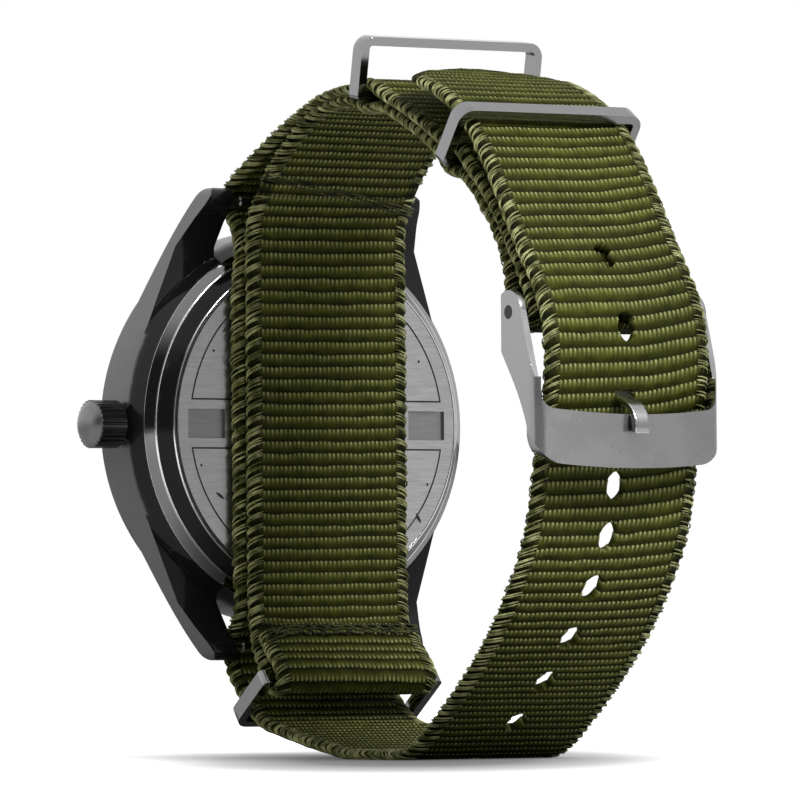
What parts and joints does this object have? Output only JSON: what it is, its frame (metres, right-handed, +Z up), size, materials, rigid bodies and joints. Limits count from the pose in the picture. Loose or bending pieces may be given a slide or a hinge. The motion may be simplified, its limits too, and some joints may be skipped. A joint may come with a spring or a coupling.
{
  "type": "field watch",
  "caption": "Field watch on a one-piece woven pull-through strap with steel loops, buckled and standing on the strap; black case, steel back, ribbed crown",
  "frame": {"origin": "on the surface that the watch stands on, under the middle of the strap's flat stretch and of the case's width", "axes": "+Z up, towards 12 o'clock; the dial faces -Y and the strap's loop lies towards +Y; the crown points along +X"},
  "size_m": [0.0467, 0.0719, 0.0749],
  "materials": {
    "black_coating": "black coated steel, satin on the flank and glossy on the bevels",
    "crystal_glass": "clear, lightly domed",
    "seal_rubber": "matt black rubber",
    "dial_paint": "matt black dial",
    "luminous_paint": "pale luminous paint",
    "works_steel": "plain steel",
    "works_brass": "plain brass",
    "battery_can": "nickel plated can",
    "copper_winding": "enamelled copper wire",
    "holder_plastic": "white plastic",
    "polished_steel": "polished steel",
    "brushed_back": "brushed steel",
    "olive_webbing": "ribbed olive nylon webbing",
    "satin_hardware": "satin steel with polished edges"
  },
  "bodies": {
    "watch_and_strap": {"mid_case": "black_coating", "bezel": "black_coating", "crystal": "crystal_glass", "crystal_gasket": "seal_rubber", "dial": "dial_paint", "dial_markers": "luminous_paint", "dial_ring": "dial_paint", "main_plate": "works_brass", "train_bridge": "works_brass", "battery": "battery_can", "battery_clamp": "works_steel", "stator": "works_steel", "coil": "copper_winding", "movement_holder": "holder_plastic", "crown_tube": "works_steel", "caseback_rim": "black_coating", "caseback_seat_ring": "polished_steel", "caseback_plate": "brushed_back", "caseback_gasket": "seal_rubber", "strap_main": "olive_webbing", "strap_secondary": "olive_webbing"},
    "minute_works": {"cannon_pinion": "works_steel", "minute_hand": "luminous_paint"},
    "minute_wheel": {"minute_wheel": "works_brass"},
    "hour_works": {"hour_wheel": "works_brass", "hour_hand": "luminous_paint"},
    "seconds_works": {"seconds_arbor": "works_brass", "seconds_hand": "luminous_paint"},
    "crown_slide": {"crown_gasket": "seal_rubber"},
    "crown_and_stem": {"crown": "black_coating", "stem": "works_steel", "sliding_pinion": "works_steel"},
    "setting_lever": {"setting_lever": "works_steel"},
    "free_keeper": {"free_keeper": "satin_hardware"},
    "buckle_keeper": {"buckle_keeper": "satin_hardware"},
    "strap_ring": {"strap_ring": "satin_hardware"},
    "buckle": {"buckle_frame": "satin_hardware", "buckle_bar": "satin_hardware"},
    "tongue": {"buckle_tongue": "satin_hardware"},
    "top_bar": {"top_bar_tube": "works_steel", "top_bar_spring": "works_steel"},
    "top_bar_tip_crown_side": {"top_bar_tip_crown_side": "works_steel"},
    "top_bar_tip_far_side": {"top_bar_tip_far_side": "works_steel"},
    "bottom_bar": {"bottom_bar_tube": "works_steel", "bottom_bar_spring": "works_steel"},
    "bottom_bar_tip_crown_side": {"bottom_bar_tip_crown_side": "works_steel"},
    "bottom_bar_tip_far_side": {"bottom_bar_tip_far_side": "works_steel"}
  },
  "joints": [
    {"name": "minute_turn", "type": "hinge", "parent": "watch_and_strap", "child": "minute_works", "pos_m": [0, -0.0322, 0.03535], "axis": [0, -1, 0], "continuous": true},
    {"name": "minute_wheel_turn", "type": "hinge", "parent": "watch_and_strap", "child": "minute_wheel", "pos_m": [-0.00384, -0.0312, 0.03535], "axis": [0, -1, 0], "continuous": true},
    {"name": "hour_turn", "type": "hinge", "parent": "watch_and_strap", "child": "hour_works", "pos_m": [0, -0.0322, 0.03535], "axis": [0, -1, 0], "continuous": true},
    {"name": "seconds_turn", "type": "hinge", "parent": "watch_and_strap", "child": "seconds_works", "pos_m": [0, -0.0322, 0.03535], "axis": [0, -1, 0], "continuous": true},
    {"name": "crown_pull", "type": "slide", "parent": "watch_and_strap", "child": "crown_slide", "axis": [1, 0, 0], "range_m": [0, 0.0008]},
    {"name": "crown_turn", "type": "hinge", "parent": "crown_slide", "child": "crown_and_stem", "pos_m": [0.02, -0.0308, 0.03535], "axis": [1, 0, 0], "continuous": true},
    {"name": "setting_lever_turn", "type": "hinge", "parent": "watch_and_strap", "child": "setting_lever", "pos_m": [0.0114, -0.0308, 0.03735], "axis": [0, -1, 0], "range_deg": [0, 27.3]},
    {"name": "free_keeper_swing", "type": "hinge", "parent": "watch_and_strap", "child": "free_keeper", "pos_m": [0, -0.00006, 0.06857], "axis": [1, 0, 0], "range_deg": [-30, 50]},
    {"name": "buckle_keeper_swing", "type": "hinge", "parent": "watch_and_strap", "child": "buckle_keeper", "pos_m": [0, 0.01583, 0.06127], "axis": [1, 0, 0], "range_deg": [-5, 5]},
    {"name": "ring_swing", "type": "hinge", "parent": "watch_and_strap", "child": "strap_ring", "pos_m": [0, -0.0188, 0.00835], "axis": [1, 0, 0], "range_deg": [-4, 4]},
    {"name": "buckle_swing", "type": "hinge", "parent": "watch_and_strap", "child": "buckle", "pos_m": [0, 0.0283, 0.04505], "axis": [1, 0, 0], "range_deg": [0, 1.5]},
    {"name": "tongue_swing", "type": "hinge", "parent": "buckle", "child": "tongue", "pos_m": [0, 0.0283, 0.04505], "axis": [1, 0, 0], "range_deg": [0, 1]},
    {"name": "top_bar_spin", "type": "hinge", "parent": "watch_and_strap", "child": "top_bar", "pos_m": [0, -0.0261, 0.05895], "axis": [1, 0, 0], "continuous": true},
    {"name": "top_bar_tip_crown_side_press", "type": "slide", "parent": "watch_and_strap", "child": "top_bar_tip_crown_side", "axis": [-1, 0, 0], "range_m": [0, 0.001], "stiffness_N_per_m": 400, "springref_m": -0.001},
    {"name": "top_bar_tip_far_side_press", "type": "slide", "parent": "watch_and_strap", "child": "top_bar_tip_far_side", "axis": [1, 0, 0], "range_m": [0, 0.001], "stiffness_N_per_m": 400, "springref_m": -0.001},
    {"name": "bottom_bar_spin", "type": "hinge", "parent": "watch_and_strap", "child": "bottom_bar", "pos_m": [0, -0.0261, 0.01175], "axis": [1, 0, 0], "continuous": true},
    {"name": "bottom_bar_tip_crown_side_press", "type": "slide", "parent": "watch_and_strap", "child": "bottom_bar_tip_crown_side", "axis": [-1, 0, 0], "range_m": [0, 0.001], "stiffness_N_per_m": 400, "springref_m": -0.001},
    {"name": "bottom_bar_tip_far_side_press", "type": "slide", "parent": "watch_and_strap", "child": "bottom_bar_tip_far_side", "axis": [1, 0, 0], "range_m": [0, 0.001], "stiffness_N_per_m": 400, "springref_m": -0.001}
  ],
  "couplings": [
    {"joint": "minute_wheel_turn", "follows": "minute_turn", "ratio": -0.33333},
    {"joint": "hour_turn", "follows": "minute_turn", "ratio": 0.083333},
    {"joint": "setting_lever_turn", "follows": "crown_pull", "rad_per_m": 593.8}
  ]
}
